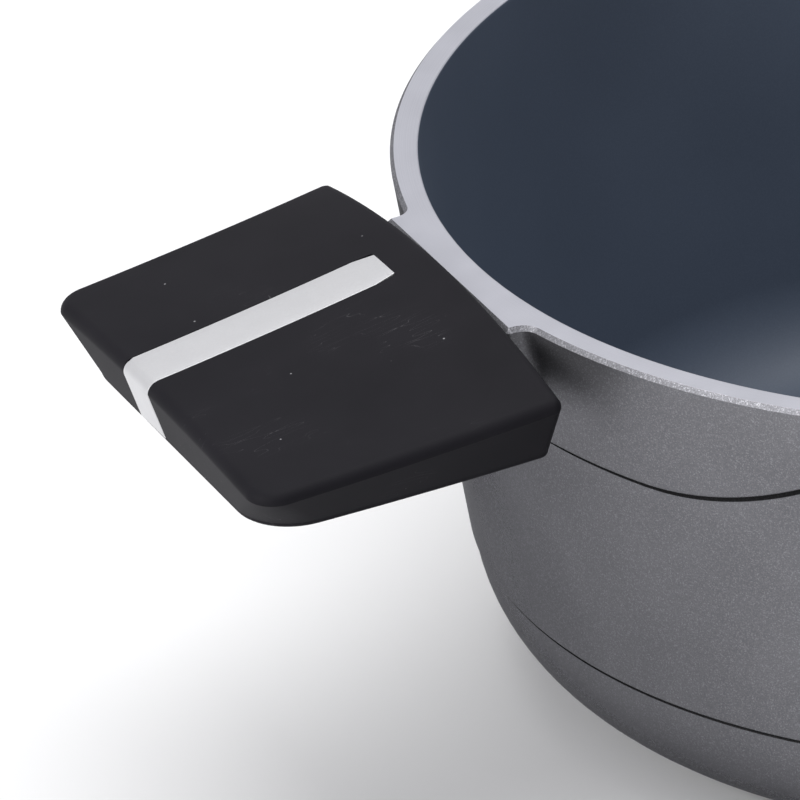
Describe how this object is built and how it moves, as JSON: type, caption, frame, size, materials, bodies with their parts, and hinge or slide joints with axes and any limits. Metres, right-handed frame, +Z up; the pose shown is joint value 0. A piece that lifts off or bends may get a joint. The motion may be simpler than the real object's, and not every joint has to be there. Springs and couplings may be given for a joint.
{
  "type": "cooking pot with side handles",
  "caption": "Open die-cast cooking pot with a dark coating inside and out, a flat bare rim, and wide drooping side handles with inlaid trim strips.",
  "frame": {"origin": "centre of the pot's base, on the surface that it stands on", "axes": "+Z up, the two handles along X, the visible handle of the reference on -X"},
  "size_m": [0.3778, 0.2512, 0.1095],
  "materials": {
    "cast_aluminium": "die-cast aluminium: fine-grained dark grey metallic coating outside, smooth blue-black non-stick coating inside, bare machined rim and lug tops",
    "plate_steel": "brushed ferritic stainless steel",
    "black_grip": "moulded phenolic with a soft-touch matt black surface",
    "satin_strip": "fine satin silver, slightly brushed along its length",
    "spring_steel": "plain rolled spring steel",
    "screw_steel": "bright zinc-plated steel",
    "insert_brass": "turned brass"
  },
  "bodies": {
    "root": {"pot_casting": "cast_aluminium", "induction_plate": "plate_steel", "left_grip": "black_grip", "left_trim_strip": "satin_strip", "left_inner_clip": "spring_steel", "left_outer_clip": "spring_steel", "left_front_screw": "screw_steel", "left_back_screw": "screw_steel", "left_front_washer": "spring_steel", "left_back_washer": "spring_steel", "left_front_insert": "insert_brass", "left_back_insert": "insert_brass", "right_grip": "black_grip", "right_trim_strip": "satin_strip", "right_inner_clip": "spring_steel", "right_outer_clip": "spring_steel", "right_front_screw": "screw_steel", "right_back_screw": "screw_steel", "right_front_washer": "spring_steel", "right_back_washer": "spring_steel", "right_front_insert": "insert_brass", "right_back_insert": "insert_brass"}
  },
  "joints": []
}
